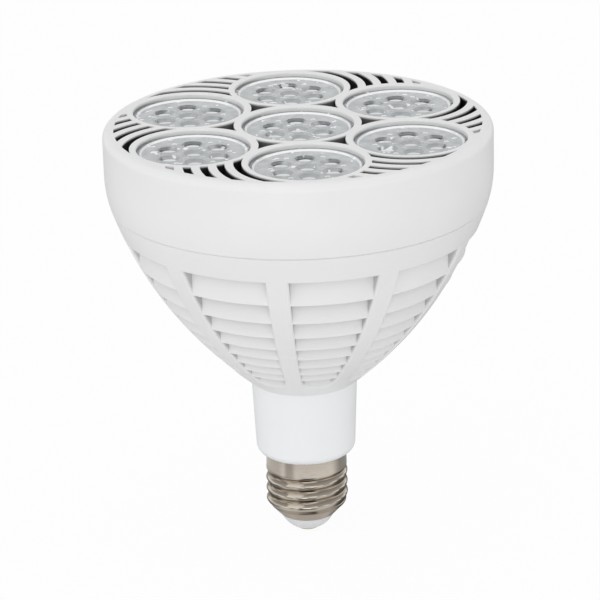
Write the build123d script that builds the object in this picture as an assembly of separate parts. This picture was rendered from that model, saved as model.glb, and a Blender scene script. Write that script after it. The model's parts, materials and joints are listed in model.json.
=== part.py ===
from build123d import *
import math
import os

# Reflector-shaped LED spotlight lamp with a screw cap.
# Millimetres. The origin is the tip of the end contact and +Z runs up the lamp's axis to the light face.

# Overall stations up the axis
CAP_HEIGHT = 27.6
NECK_HEIGHT = 25.0
BOWL_HEIGHT = 60.4
DRUM_HEIGHT = 23.7

# Front bezel
RIM_R = 60.5
RIM_EDGE = 2.6
SEAM_INSET = 1.45
DRUM_CURVE = 10.1
BEZEL_WALL = 2.2
FACE_T = 5.0
RIM_BORDER = 4.85
LENS_WEB = 3.3
LENS_LIP = 0.95
LENS_RECESS = 1.4
LENS_TURN = 33.6
HOLE_EDGE = 0.4
SEAM_EDGE = 0.3

# Swirl vents in the face, one group beside each outer lens
SLOT_WIDTH = 2.45
SLOT_BAR = 2.6
SLOT_COUNT = 4
SLOT_RING = 2.05
SLOT_LAND = 2.05
SLOT_BORDER = 3.5
BLIND_SLOT_DEPTH = 0.7
VENT_CORNER_RING = 2.35

# Clear optics
LENS_FIT = 0.1
LENS_HEIGHT = 12.7
LENS_PLATE = 2.0
LENSLET_RING = 8.6
LENSLET_TOP_R = 4.2
LENSLET_FOOT_R = 2.2
LENSLET_AIR = 0.4
FIELD_BORDER = 1.9
FIELD_DEPTH = 0.5
WELL_R = 3.1
WELL_FOOT_R = 2.3
WELL_DEPTH = 1.4
LEG_R = 1.1
LEG_COUNT = 3
LEG_EDGE = 0.8
GATE_R = 0.7
GATE_DEPTH = 0.5
GATE_EDGE = 1.0

# LED board, its chips and its pad
BOARD_T = 1.6
BOARD_CLEAR = 0.5
CHIP_SIDE = 3.0
CHIP_T = 0.7
PAD_T = 0.4
PAD_INSET = 0.4

# Heat sink
PLATE_T = 4.0
FIN_HEIGHT = 18.0
FIN_COUNT = 24
FIN_T = 1.4
FIN_INSET = 4.2
CORE_R = 10.0
BOSS_R = 3.4

# Screws
SCREW_R = 1.25
SCREW_HEAD_R = 2.0
SCREW_HEAD_T = 1.6
SCREW_BITE = 5.0
SCREW_TIP = 1.0
SCREW_FIT = 0.05
CROSS_WIDTH = 0.6
CROSS_DEPTH = 0.8
PASS_FIT = 0.25

# Fan
FAN_SIDE = 50.0
FAN_DEPTH = 12.0
FAN_PITCH = 40.0
FAN_CORNER = 4.5
FAN_BORE_R = 23.9
TIP_GAP = 0.7
HUB_R = 11.5
HUB_WALL = 0.9
MAGNET_T = 1.25
MAGNET_FIT = 0.05
AIR_GAP = 0.5
FAN_BASE_T = 1.5
STRUT_WIDTH = 3.0
STRUT_COUNT = 4
STRUT_TURN = 20.0
BEARING_R = 2.6
BEARING_WALL = 1.3
SHAFT_R = 1.0
SHAFT_FIT = 0.03
AXIAL_GAP = 0.6
BLADE_COUNT = 9
BLADE_T = 1.1
BLADE_ROOT_ANGLE = 42.0
BLADE_TIP_ANGLE = 30.0
BLADE_CHORD = 10.0
STATOR_T = 3.4
POLE_COUNT = 4
POLE_WIDTH = 2.4
POLE_SHOE = 1.2
COIL_T = 0.9
FAN_BOARD_T = 0.8

# Louvred bowl
BOWL_STEP = 0.1
BOWL_ARC_R = 131.8
BOWL_WALL = 2.4
RIB_COUNT = 10
RIB_TURN = 10.3
RIB_TOP_WIDTH = 7.0
RIB_FOOT_WIDTH = 5.0
RIB_DEPTH = 5.5
RIB_EDGE = 0.6
ON_SURFACE = 0.03
WINDOW_BORDER = 3.25
WINDOW_LAND = 5.5
WINDOW_CORNER = 3.6
VANE_FIRST = 4.0
VANE_PITCH = 3.0
VANE_GROWTH = 0.15
VANE_T = 1.2
VANE_RECESS = 0.35
VANE_OVERLAP = 2.0
VANE_LIP_GAP = 3.0
SNAP_HEIGHT = 2.5
SNAP_T = 1.6
SNAP_FIT = 0.1
BRACKET_COUNT = 3
BRACKET_WIDTH = 7.0
BRACKET_HEIGHT = 9.0
BRACKET_REACH = 3.5
SOCKET_HEIGHT = 5.5
SOCKET_WALL = 2.0

# Neck, which is the driver's case
NECK_STEP = 1.8
NECK_TAPER = 1.1
NECK_EDGE = 3.0
TUBE_R = 15.0
TUBE_WALL = 1.5
TUBE_HEIGHT = 20.0
CASE_FIT = 0.1
BEAD_R = 0.5
BEAD_HEIGHT = 1.0
CAP_SPIGOT_WALL = 1.4
CAP_SPIGOT_FOOT = 13.1
RAIL_DEPTH = 1.6
RAIL_T = 1.2
COVER_T = 1.6
COVER_PLUG = 2.5
COVER_HOLE_R = 2.4

# Screw cap
COLLAR_R = 12.9
COLLAR_HEIGHT = 5.1
SHELL_T = 0.3
CREST_R = 13.1
THREAD_DEPTH = 0.9
THREAD_PITCH = 3.629
THREAD_FADE = 1.2
THREAD_FOOT = 9.1
THREAD_START = 9.3
THREAD_STEPS = 12
CONE_TOP_R = 11.7
LIP_R = 9.0
LIP_Z = 6.1
SHELL_FIT = 0.05
DOME_BULGE_R = 8.5
INSULATOR_TOP = 10.1
INSULATOR_FLANGE = 1.4
CONTACT_R = 3.4
CONTACT_T = 0.9
CONTACT_CROWN = 0.6
STEM_R = 1.3
STEM_FIT = 0.05
STEM_RISE = 1.0

# Driver board and what is on it, with heights measured from the board's lower edge
DRIVER_T = 1.6
DRIVER_Y = 3.0
DRIVER_GAP = 1.5
DRIVER_FIT = 0.15
CORE_SIDE = 15.0
CORE_HEIGHT = 12.0
CORE_T = 7.0
CORE_LEG = 2.4
CENTRE_LEG = 4.4
WINDING_BUILD = 2.5
WINDING_FIT = 0.2
TRANSFORMER_RISE = 17.0
BULK_R = 4.8
BULK_HEIGHT = 11.0
BULK_RISE = 28.3
OUTPUT_R = 3.6
OUTPUT_HEIGHT = 9.0
OUTPUT_RISE = 37.0
SLEEVE_GROOVE = 0.3
SLEEVE_RISE = 0.9
CHOKE_R = 3.2
CHOKE_CORE_R = 2.2
CHOKE_HEIGHT = 7.0
CHOKE_FLANGE = 1.2
CHOKE_RISE = 6.5
CHOKE_X = 4.6
BRIDGE_SIDE = 4.6
BRIDGE_T = 2.4
BRIDGE_RISE = 8.0
CHIP_BODY = 5.0
CHIP_BODY_T = 1.5
CHIP_RISE = 22.0
FUSE_R = 1.4
FUSE_LENGTH = 5.0

# Leads
WIRE_R = 0.7
WIRE_GAP = 0.3
WIRE_BEND = 4.2
LEAD_CLEAR = 1.5
LEAD_TAIL = 1.0
SOLDER_RISE = 2.6
FAN_LEAD_EDGE = 4.6
FAN_LEAD_SPACING = 2.4
FAN_LEAD_SHIFT = 1.2

# Stations and sizes that follow
NECK_Z = CAP_HEIGHT
BOWL_Z = NECK_Z + NECK_HEIGHT
SEAM_Z = BOWL_Z + BOWL_HEIGHT
FACE_Z = SEAM_Z + DRUM_HEIGHT
SEAM_R = RIM_R - SEAM_INSET
NECK_TOP_R = TUBE_R + NECK_STEP
NECK_FOOT_R = NECK_TOP_R - NECK_TAPER
BOWL_FOOT_R = NECK_TOP_R + BOWL_STEP
WINDOW_TOP_R = SEAM_R - WINDOW_BORDER
WINDOW_FOOT_R = BOWL_FOOT_R + WINDOW_LAND
LENS_RING = (RIM_R - RIM_BORDER + LENS_WEB / 2) / 1.5
HOLE_R = (LENS_RING - LENS_WEB) / 2
SEAT_R = HOLE_R + LENS_LIP
LENS_R = SEAT_R - LENS_FIT
LENS_TOP = FACE_Z - LENS_RECESS
BOARD_TOP = LENS_TOP - LENS_HEIGHT
BOARD_LOW = BOARD_TOP - BOARD_T
PLATE_TOP = BOARD_LOW - PAD_T
PLATE_LOW = PLATE_TOP - PLATE_T
FAN_TOP = PLATE_LOW - FIN_HEIGHT
FAN_LOW = FAN_TOP - FAN_DEPTH
SNAP_R = SEAM_R - BEZEL_WALL - SNAP_FIT
SNAP_INNER_R = SNAP_R - SNAP_T
LOBE_R = SNAP_INNER_R - BOARD_CLEAR - LENS_RING
SINK_SCREW_RING = LENS_RING + LOBE_R - SCREW_HEAD_R - 2 * PASS_FIT
TRIPLE_RING = LENS_RING / math.sqrt(3)
BOARD_HUB_R = FAN_PITCH / math.sqrt(2) + BOSS_R
FIN_R = LENS_RING - FIN_INSET
TUBE_TOP = BOWL_Z + TUBE_HEIGHT
TUBE_INNER_R = TUBE_R - TUBE_WALL
COVER_TOP = TUBE_TOP + COVER_T
COLLAR_Z = NECK_Z - COLLAR_HEIGHT
SLOT_RIM_R = RIM_R - SLOT_BORDER
SINK_LENSES = [i * 6 // BRACKET_COUNT for i in range(BRACKET_COUNT)]
SCREW_CORNERS = [2, 3, 4, 5]
LEAD_CORNERS = [0, 1]
LEAD_SINE = min(math.sin(math.radians(LENS_TURN + 30 + 60 * i)) for i in LEAD_CORNERS)
COVER_HOLE_RING = (DRIVER_Y + DRIVER_T + WIRE_R + WIRE_GAP) / LEAD_SINE
LEAD_RING = FAN_SIDE / 2 / LEAD_SINE + WIRE_R + LEAD_CLEAR
DRIVER_LOW = NECK_Z + DRIVER_GAP
DRIVER_TOP = TUBE_TOP - COVER_PLUG


def at(radius, degrees):
    """Plan position at a radius and a bearing from +X."""
    turn = math.radians(degrees)
    return radius * math.cos(turn), radius * math.sin(turn)


def rod(radius, low, high, x=0, y=0):
    """Upright cylinder between two heights."""
    return Pos(x, y, low) * Cylinder(radius, high - low, align=(Align.CENTER, Align.CENTER, Align.MIN))


def tube(outer, inner, low, high, x=0, y=0):
    """Upright tube between two heights."""
    return rod(outer, low, high, x, y) - rod(inner, low, high, x, y)


def block(width, depth, low, high, x=0, y=0):
    """Upright box between two heights, centred on a plan position."""
    shape = Box(width, depth, high - low, align=(Align.CENTER, Align.CENTER, Align.MIN))
    return Pos(x, y, low) * shape


def turned(edges):
    """Solid of revolution about the axis from the edges of a half section, drawn as radius and height."""
    return revolve(Plane.XZ * make_face(edges), Axis.Z)


def turned_polygon(*points):
    """Solid of revolution from the corners of a half section."""
    return turned(Polyline(*points, close=True))


def lens_place(index):
    """Plan position of an optic: six in a ring, then the middle one."""
    if index == 6:
        return 0.0, 0.0
    return at(LENS_RING, LENS_TURN + 60 * index)


def corner_bearing(index):
    """Bearing of the triangular space between the middle optic and a neighbouring pair."""
    return LENS_TURN + 30 + 60 * index


LENS_PLACES = [lens_place(i) for i in range(7)]
LENSLET_PLACES = [(0.0, 0.0)] + [at(LENSLET_RING, LENS_TURN + 60 * j) for j in range(6)]


# The bowl's outline is one arc from the neck to the seam
def bowl_centre():
    """Centre of the outline's arc, as radius and height."""
    across = SEAM_R - BOWL_FOOT_R
    chord = math.hypot(across, BOWL_HEIGHT)
    away = math.sqrt(BOWL_ARC_R ** 2 - (chord / 2) ** 2)
    radius = (SEAM_R + BOWL_FOOT_R) / 2 - away * BOWL_HEIGHT / chord
    height = (SEAM_Z + BOWL_Z) / 2 + away * across / chord
    return radius, height


ARC_R, ARC_Z = bowl_centre()


def bowl_radius(height):
    """Outer radius of the bowl at a height."""
    return ARC_R + math.sqrt(BOWL_ARC_R ** 2 - (height - ARC_Z) ** 2)


def bowl_height(radius):
    """Height at which the bowl has an outer radius."""
    return ARC_Z - math.sqrt(BOWL_ARC_R ** 2 - (radius - ARC_R) ** 2)


def bowl_arc(low, high, inset):
    """Edge along the bowl's outline between two heights, moved in towards the axis."""
    middle = (low + high) / 2
    points = [(bowl_radius(z) - inset, z) for z in (low, middle, high)]
    return ThreePointArc(*points)


# Front bezel: drum and face in one moulding
def drum_outline(inset):
    """Half section of the drum's outside, from the seam up to the straight rim, moved in by a wall."""
    rise = SEAM_Z + DRUM_CURVE
    slope_r = (DRUM_CURVE ** 2 + SEAM_INSET ** 2) / (2 * SEAM_INSET)
    half = slope_r - math.sqrt(slope_r ** 2 - (DRUM_CURVE / 2) ** 2)
    middle = (RIM_R - half - inset, rise - DRUM_CURVE / 2)
    return ThreePointArc((SEAM_R - inset, SEAM_Z), middle, (RIM_R - inset, rise))


def drum_solid(inset, top, edge):
    """Solid drum from the seam to a height, with a rounded or sharp top edge."""
    side = drum_outline(inset)
    shoulder = Line(side @ 1, (RIM_R - inset, top))
    lid = Line((RIM_R - inset, top), (0, top))
    axis = Line((0, top), (0, SEAM_Z))
    floor = Line((0, SEAM_Z), side @ 0)
    face = make_face([side, shoulder, lid, axis, floor])
    if edge > 0:
        corner = face.vertices().sort_by_distance((RIM_R - inset, top, 0))[0]
        face = fillet(corner, edge)
    return revolve(Plane.XZ * face, Axis.Z)


def vent_slot(lens, step):
    """Plan outline of one swirl slot: an arc round its optic, stopped by the next optic and the rim."""
    x, y = LENS_PLACES[lens]
    next_x, next_y = LENS_PLACES[(lens + 5) % 6]
    inner = HOLE_R + SLOT_RING + step * (SLOT_WIDTH + SLOT_BAR)
    band = Pos(x, y) * (Circle(inner + SLOT_WIDTH) - Circle(inner))
    side = Rot(0, 0, LENS_TURN + 60 * lens) * Pos(0, -RIM_R) * Rectangle(2 * RIM_R, 2 * RIM_R)
    middle = Circle(LENS_RING * math.cos(math.radians(30)))
    land = Pos(next_x, next_y) * Circle(HOLE_R + SLOT_LAND)
    return (band & side & Circle(SLOT_RIM_R)) - [middle, land]


def corner_vent(index):
    """Plan outline of the small three-sided vent between three optics."""
    x, y = at(TRIPLE_RING, corner_bearing(index))
    outline = Pos(x, y) * Circle(TRIPLE_RING / 2)
    for lens in (6, index, (index + 1) % 6):
        lens_x, lens_y = LENS_PLACES[lens]
        outline -= Pos(lens_x, lens_y) * Circle(HOLE_R + VENT_CORNER_RING)
    return outline.faces().sort_by_distance((x, y, 0))[0]


def front_bezel():
    shape = drum_solid(0, FACE_Z, RIM_EDGE) - drum_solid(BEZEL_WALL, FACE_Z - FACE_T, 0)
    foot = shape.edges().filter_by(GeomType.CIRCLE).group_by(Axis.Z)[0].sort_by(SortBy.RADIUS)[-1]
    shape = chamfer(foot, SEAM_EDGE)
    shape -= [rod(HOLE_R, SEAM_Z, FACE_Z, x, y) for x, y in LENS_PLACES]
    hole_edges = shape.edges().filter_by(GeomType.CIRCLE).group_by(Axis.Z)[-1]
    shape = fillet([e for e in hole_edges if abs(e.radius - HOLE_R) < HOLE_EDGE], HOLE_EDGE)
    cuts = [rod(SEAT_R, SEAM_Z, LENS_TOP, x, y) for x, y in LENS_PLACES]
    through = Pos(0, 0, FACE_Z - FACE_T)
    blind = Pos(0, 0, FACE_Z - BLIND_SLOT_DEPTH)
    for lens in range(6):
        cuts += [through * extrude(vent_slot(lens, step), FACE_T) for step in range(SLOT_COUNT)]
        cuts.append(blind * extrude(vent_slot(lens, SLOT_COUNT), BLIND_SLOT_DEPTH))
        cuts.append(through * extrude(corner_vent(lens), FACE_T))
    return shape - cuts


# Clear optics, each a plate with wells in its sunk field, collimators under the wells and legs down to the board
def lens_optic(index):
    x, y = LENS_PLACES[index]
    plate_low = LENS_TOP - LENS_PLATE
    foot = BOARD_TOP + CHIP_T + LENSLET_AIR
    cup = turned_polygon((0, foot), (LENSLET_FOOT_R, foot), (LENSLET_TOP_R, plate_low), (0, plate_low))
    under = [Pos(cx, cy) * cup for cx, cy in LENSLET_PLACES]
    leg_ring = LOBE_R - LEG_R - LEG_EDGE
    for k in range(LEG_COUNT):
        leg_x, leg_y = at(leg_ring, 360 * k / LEG_COUNT)
        under.append(rod(LEG_R, BOARD_TOP, plate_low, leg_x, leg_y))
    shape = rod(LENS_R, plate_low, LENS_TOP) + under
    field = LENS_TOP - FIELD_DEPTH
    floor = field - WELL_DEPTH
    well = turned_polygon((0, floor), (WELL_FOOT_R, floor), (WELL_R, field), (0, field))
    sunk = [Pos(cx, cy) * well for cx, cy in LENSLET_PLACES]
    sunk.append(rod(LENS_R - FIELD_BORDER, field, LENS_TOP))
    sunk.append(rod(GATE_R, LENS_TOP - GATE_DEPTH, LENS_TOP, LENS_R - GATE_EDGE, 0))
    shape -= sunk
    return Pos(x, y) * shape


# LED board, pad and heat sink share one flower-shaped outline, open under the swirl vents
def flower(inset, low, high):
    """Plate with a round middle and a lobe under each outer optic."""
    lobes = [rod(LOBE_R - inset, low, high, x, y) for x, y in LENS_PLACES[:6]]
    return rod(BOARD_HUB_R - inset, low, high) + lobes


def sink_screw_places():
    """Plan positions of the screws into the housing."""
    return [at(SINK_SCREW_RING, LENS_TURN + 60 * i) for i in SINK_LENSES]


def board_screw_places():
    """Plan positions of the screws that hold the board to the heat sink."""
    return [at(TRIPLE_RING, corner_bearing(i)) for i in SCREW_CORNERS]


def lead_places():
    """Plan positions where the leads come up through the plate and the board."""
    return [at(TRIPLE_RING, corner_bearing(i)) for i in LEAD_CORNERS]


def drilled(shape, low, high, board_hole_r):
    """Cuts the screw holes and lead holes through a flower-shaped plate."""
    holes = [rod(SCREW_R + PASS_FIT, low, high, x, y) for x, y in sink_screw_places()]
    holes += [rod(board_hole_r, low, high, x, y) for x, y in board_screw_places()]
    holes += [rod(WIRE_R + WIRE_GAP, low, high, x, y) for x, y in lead_places()]
    return shape - holes


def led_board():
    return drilled(flower(0, BOARD_LOW, BOARD_TOP), BOARD_LOW, BOARD_TOP, SCREW_R + PASS_FIT)


def thermal_pad():
    return drilled(flower(PAD_INSET, PLATE_TOP, BOARD_LOW), PLATE_TOP, BOARD_LOW, SCREW_R + PASS_FIT)


def led_chips():
    """One chip under each lenslet."""
    chips = []
    for x, y in LENS_PLACES:
        for cx, cy in LENSLET_PLACES:
            chips.append(block(CHIP_SIDE, CHIP_SIDE, BOARD_TOP, BOARD_TOP + CHIP_T, x + cx, y + cy))
    return Compound(chips)


def fan_screw_places():
    """Plan positions of the fan's four screws."""
    half = FAN_PITCH / 2
    return [(half, half), (-half, half), (-half, -half), (half, -half)]


def heat_sink():
    shape = drilled(flower(0, PLATE_LOW, PLATE_TOP), PLATE_LOW, PLATE_TOP, SCREW_R + SCREW_FIT)
    under = [rod(CORE_R, FAN_TOP, PLATE_LOW)]
    fin_length = FIN_R - CORE_R / 2
    fin = block(fin_length, FIN_T, FAN_TOP, PLATE_LOW, CORE_R / 2 + fin_length / 2)
    for k in range(FIN_COUNT):
        under.append(Rot(0, 0, corner_bearing(0) + (k + 0.5) * 360 / FIN_COUNT) * fin)
    under += [rod(BOSS_R, FAN_TOP, PLATE_LOW, x, y) for x, y in fan_screw_places()]
    bite = FAN_TOP + SCREW_BITE + SCREW_TIP
    return shape + under - [rod(SCREW_R + SCREW_FIT, FAN_TOP, bite, x, y) for x, y in fan_screw_places()]


# Pan-head screws with a cross recess, pointing down from a seat
def screw(seat, length):
    shape = rod(SCREW_R, seat - length, seat) + rod(SCREW_HEAD_R, seat, seat + SCREW_HEAD_T)
    top = seat + SCREW_HEAD_T
    arms = ((CROSS_WIDTH, SCREW_R * 2), (SCREW_R * 2, CROSS_WIDTH))
    return shape - [block(width, depth, top - CROSS_DEPTH, top) for width, depth in arms]


def board_screws():
    length = BOARD_TOP - PLATE_LOW
    return Compound([Pos(x, y) * screw(BOARD_TOP, length) for x, y in board_screw_places()])


def sink_screws():
    length = BOARD_TOP - PLATE_LOW + SCREW_BITE
    return Compound([Pos(x, y) * screw(BOARD_TOP, length) for x, y in sink_screw_places()])


def fan_screws():
    """The fan hangs from the heat sink, so its screws point up."""
    upward = Pos(0, 0, FAN_LOW) * Rot(180, 0, 0) * screw(0, FAN_DEPTH + SCREW_BITE)
    return Compound([Pos(x, y) * upward for x, y in fan_screw_places()])


# Fan, stacked up from its base plate
BASE_TOP = FAN_LOW + FAN_BASE_T
TUBE_OUTER = BEARING_R + BEARING_WALL
HUB_TOP = FAN_TOP - AXIAL_GAP
HUB_LOW = BASE_TOP + AXIAL_GAP
ROOF_LOW = HUB_TOP - HUB_WALL
BEARING_TOP = ROOF_LOW - 2 * AXIAL_GAP
CUP_R = HUB_R - HUB_WALL
MAGNET_R = CUP_R - MAGNET_FIT
MAGNET_INNER_R = MAGNET_R - MAGNET_T
POLE_R = MAGNET_INNER_R - AIR_GAP
FAN_BOARD_TOP = BASE_TOP + FAN_BOARD_T
STATOR_LOW = FAN_BOARD_TOP + COIL_T
STATOR_TOP = STATOR_LOW + STATOR_T


def fan_frame():
    square = RectangleRounded(FAN_SIDE, FAN_SIDE, FAN_CORNER)
    cuts = [rod(SCREW_R + PASS_FIT, FAN_LOW, FAN_TOP, x, y) for x, y in fan_screw_places()]
    cuts.append(rod(FAN_BORE_R, FAN_LOW, FAN_TOP))
    shape = Pos(0, 0, FAN_LOW) * extrude(square, FAN_DEPTH) - cuts
    motor = [rod(HUB_R, FAN_LOW, BASE_TOP), tube(TUBE_OUTER, BEARING_R, BASE_TOP, BEARING_TOP)]
    strut_length = (FAN_BORE_R + FAN_SIDE / 2) / 2
    strut = block(strut_length, STRUT_WIDTH, FAN_LOW, BASE_TOP, strut_length / 2)
    motor += [Rot(0, 0, STRUT_TURN + 360 * k / STRUT_COUNT) * strut for k in range(STRUT_COUNT)]
    lead_holes = [rod(WIRE_R + WIRE_GAP, FAN_LOW, BASE_TOP, x, y) for x, y in fan_lead_places(FAN_LEAD_SHIFT)]
    return shape + motor - lead_holes


def fan_bearing():
    return tube(BEARING_R, SHAFT_R + SHAFT_FIT, BASE_TOP + AXIAL_GAP, BEARING_TOP)


def fan_board():
    return tube(POLE_R, TUBE_OUTER, BASE_TOP, FAN_BOARD_TOP)


def fan_stator():
    neck_r = TUBE_OUTER + POLE_SHOE
    arm = block(POLE_R, POLE_WIDTH, STATOR_LOW, STATOR_TOP, POLE_R / 2)
    shoe = block(2 * POLE_SHOE, POLE_R, STATOR_LOW, STATOR_TOP, POLE_R)
    poles = [Rot(0, 0, 360 * k / POLE_COUNT) * (arm + shoe) for k in range(POLE_COUNT)]
    shape = rod(neck_r, STATOR_LOW, STATOR_TOP) + poles
    return shape & tube(POLE_R, TUBE_OUTER, STATOR_LOW, STATOR_TOP)


def fan_coils():
    """One coil round each stator arm, between the neck and the shoe."""
    start = TUBE_OUTER + POLE_SHOE + MAGNET_FIT
    stop = POLE_R - POLE_SHOE - MAGNET_FIT
    length = stop - start
    middle = (start + stop) / 2
    around = block(length, POLE_WIDTH + 2 * COIL_T, FAN_BOARD_TOP, STATOR_TOP + COIL_T, middle)
    arm_space = block(length, POLE_WIDTH, STATOR_LOW, STATOR_TOP, middle)
    coil = around - arm_space
    return Compound([Rot(0, 0, 360 * k / POLE_COUNT) * coil for k in range(POLE_COUNT)])


def fan_blade():
    """One twisted blade, trimmed to the hub and to the tip circle."""
    tip_r = FAN_BORE_R - TIP_GAP
    middle = (HUB_LOW + HUB_TOP) / 2
    root = Plane(origin=(CUP_R / 2, 0, middle), x_dir=(0, 1, 0), z_dir=(1, 0, 0))
    tip = Plane(origin=(FAN_BORE_R, 0, middle), x_dir=(0, 1, 0), z_dir=(1, 0, 0))
    inner = root * Rot(0, 0, BLADE_ROOT_ANGLE) * Rectangle(BLADE_CHORD, BLADE_T)
    outer = tip * Rot(0, 0, BLADE_TIP_ANGLE) * Rectangle(BLADE_CHORD, BLADE_T)
    return loft([inner, outer]) & tube(tip_r, CUP_R, HUB_LOW, HUB_TOP)


def fan_impeller():
    shape = rod(HUB_R, HUB_LOW, HUB_TOP) - rod(CUP_R, HUB_LOW, ROOF_LOW)
    blade = fan_blade()
    blades = [Rot(0, 0, 360 * k / BLADE_COUNT) * blade for k in range(BLADE_COUNT)]
    shape += blades + [rod(BEARING_R, BEARING_TOP + AXIAL_GAP, ROOF_LOW)]
    return shape - rod(SHAFT_R, HUB_LOW, ROOF_LOW)


def fan_shaft():
    return rod(SHAFT_R, BASE_TOP + SHAFT_FIT, ROOF_LOW)


def fan_magnet():
    return tube(MAGNET_R, MAGNET_INNER_R, STATOR_LOW, ROOF_LOW)


# Louvred bowl: ribs between the windows, and a full ring for every vane
def window_plan():
    """Plan outline of one window, between the sides of two ribs and out past the bowl."""
    half = 180 / RIB_COUNT
    far = RIM_R + RIB_DEPTH
    growth = (RIB_TOP_WIDTH - RIB_FOOT_WIDTH) / (WINDOW_TOP_R - WINDOW_FOOT_R) / 2
    corners = []
    for along in (0, far):
        width = RIB_FOOT_WIDTH / 2 + growth * (along - WINDOW_FOOT_R)
        x, y = at(along, half)
        step_x, step_y = at(width, half - 90)
        corners.append((x + step_x, y + step_y))
    foot_x, foot_y = corners[0]
    far_x, far_y = corners[1]
    corners += [(far_x, -far_y), (foot_x, -foot_y)]
    outline = make_face(Polyline(*corners, close=True)) - Circle(WINDOW_FOOT_R)
    foot_corners = outline.vertices().group_by(lambda v: math.hypot(v.X, v.Y))[0]
    return fillet(foot_corners, WINDOW_CORNER)


def vane_radii():
    """Outer radii of the vanes, from the foot of a window upwards and further apart towards the top."""
    radii = []
    radius = WINDOW_FOOT_R + VANE_FIRST
    while radius < WINDOW_TOP_R - VANE_LIP_GAP:
        radii.append(radius)
        radius += VANE_PITCH + VANE_GROWTH * len(radii)
    return radii


def bowl_shell():
    """The bowl's wall, with deep ribs and a thinner band above the windows, before the vanes go in."""
    outside = bowl_arc(BOWL_Z, SEAM_Z, 0)
    inside = bowl_arc(BOWL_Z, SEAM_Z, RIB_DEPTH)
    shell = turned([outside, Line(outside @ 1, inside @ 1), inside, Line(inside @ 0, outside @ 0)])
    window_top = bowl_height(WINDOW_TOP_R)
    window = Pos(0, 0, BOWL_Z) * extrude(window_plan(), window_top - BOWL_Z)
    shell -= [Rot(0, 0, RIB_TURN + (k + 0.5) * 360 / RIB_COUNT) * window for k in range(RIB_COUNT)]
    rounded = [e for e in shell.edges() if on_bowl(e)]
    shell = fillet(rounded, RIB_EDGE)
    hollow = bowl_arc(window_top + BOWL_WALL, SEAM_Z, BOWL_WALL)
    top_line = Line(hollow @ 1, (0, SEAM_Z))
    axis = Line((0, SEAM_Z), (0, window_top + BOWL_WALL))
    floor = Line((0, window_top + BOWL_WALL), hollow @ 0)
    shell -= turned([hollow, top_line, axis, floor])
    rim = shell.edges().filter_by(GeomType.CIRCLE).group_by(Axis.Z)[-1].sort_by(SortBy.RADIUS)[-1]
    return chamfer(rim, SEAM_EDGE)


def on_bowl(edge):
    """True for an edge of a window's mouth on the bowl's outside."""
    middle = edge @ 0.5
    clear = BOWL_Z + RIB_EDGE < middle.Z < SEAM_Z - RIB_EDGE
    return clear and abs(math.hypot(middle.X, middle.Y) - bowl_radius(middle.Z)) < ON_SURFACE


def housing():
    added = []
    radii = vane_radii()
    for radius, stop in zip(radii, radii[1:] + [WINDOW_TOP_R]):
        low = bowl_height(radius) + VANE_RECESS
        added.append(tube(radius, radius - VANE_T, low, bowl_height(stop) + VANE_OVERLAP))
    added.append(tube(SNAP_R, SNAP_INNER_R, SEAM_Z - BOWL_WALL, SEAM_Z + SNAP_HEIGHT))
    added.append(tube(TUBE_R + SOCKET_WALL, TUBE_R, BOWL_Z + SEAM_EDGE, BOWL_Z + SOCKET_HEIGHT))
    reach_in = SINK_SCREW_RING - BRACKET_REACH
    reach_out = SNAP_R - SNAP_T / 2
    middle = (reach_in + reach_out) / 2
    arm = block(reach_out - reach_in, BRACKET_WIDTH, PLATE_LOW - BRACKET_HEIGHT, PLATE_LOW, middle)
    added += [Rot(0, 0, LENS_TURN + 60 * i) * arm for i in SINK_LENSES]
    bite = PLATE_LOW - SCREW_BITE - SCREW_TIP
    cuts = [rod(SCREW_R + SCREW_FIT, bite, PLATE_LOW, x, y) for x, y in sink_screw_places()]
    cuts.append(rod(TUBE_R + CASE_FIT, BOWL_Z, BOWL_Z + SOCKET_HEIGHT))
    return bowl_shell() + added - cuts


# Neck: driver case with the cap's spigot below and the driver's tube above
def driver_case():
    spigot_r = COLLAR_R - SHELL_T - SHELL_FIT
    root_r = CREST_R - THREAD_DEPTH - SHELL_T - 2 * SHELL_FIT
    bore = root_r - CAP_SPIGOT_WALL
    edge = min(NECK_EDGE, NECK_FOOT_R - spigot_r - SHELL_FIT)
    section = make_face(Polyline(
        (bore, CAP_SPIGOT_FOOT), (root_r, CAP_SPIGOT_FOOT), (root_r, COLLAR_Z), (spigot_r, COLLAR_Z),
        (spigot_r, NECK_Z), (NECK_FOOT_R, NECK_Z), (NECK_TOP_R, BOWL_Z), (TUBE_R, BOWL_Z),
        (TUBE_R, TUBE_TOP), (TUBE_INNER_R, TUBE_TOP), (TUBE_INNER_R, DRIVER_LOW), (bore, DRIVER_LOW),
        close=True))
    section = fillet(section.vertices().sort_by_distance((NECK_FOOT_R, NECK_Z, 0))[0], edge)
    shape = revolve(Plane.XZ * section, Axis.Z)
    bead_low = BOWL_Z + SOCKET_HEIGHT + CASE_FIT
    shape += tube(TUBE_R + BEAD_R, TUBE_INNER_R, bead_low, bead_low + BEAD_HEIGHT)
    return shape + driver_rails()


def driver_rails():
    """Two pairs of rails inside the tube, which hold the edges of the driver board."""
    front = block(2 * TUBE_R, RAIL_T, DRIVER_LOW, DRIVER_TOP, 0, DRIVER_Y - DRIVER_FIT - RAIL_T / 2)
    back = block(2 * TUBE_R, RAIL_T, DRIVER_LOW, DRIVER_TOP, 0, DRIVER_Y + DRIVER_T + DRIVER_FIT + RAIL_T / 2)
    opening = block(2 * driver_half() - 2 * RAIL_DEPTH, 2 * TUBE_R, DRIVER_LOW, DRIVER_TOP)
    return (front + back - opening) & rod(TUBE_R - TUBE_WALL / 2, DRIVER_LOW, DRIVER_TOP)


def driver_half():
    """Half of the driver board's width, which fits the bore of the tube."""
    deepest = DRIVER_Y + DRIVER_T
    return math.sqrt(TUBE_INNER_R ** 2 - deepest ** 2) - 2 * DRIVER_FIT


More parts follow.
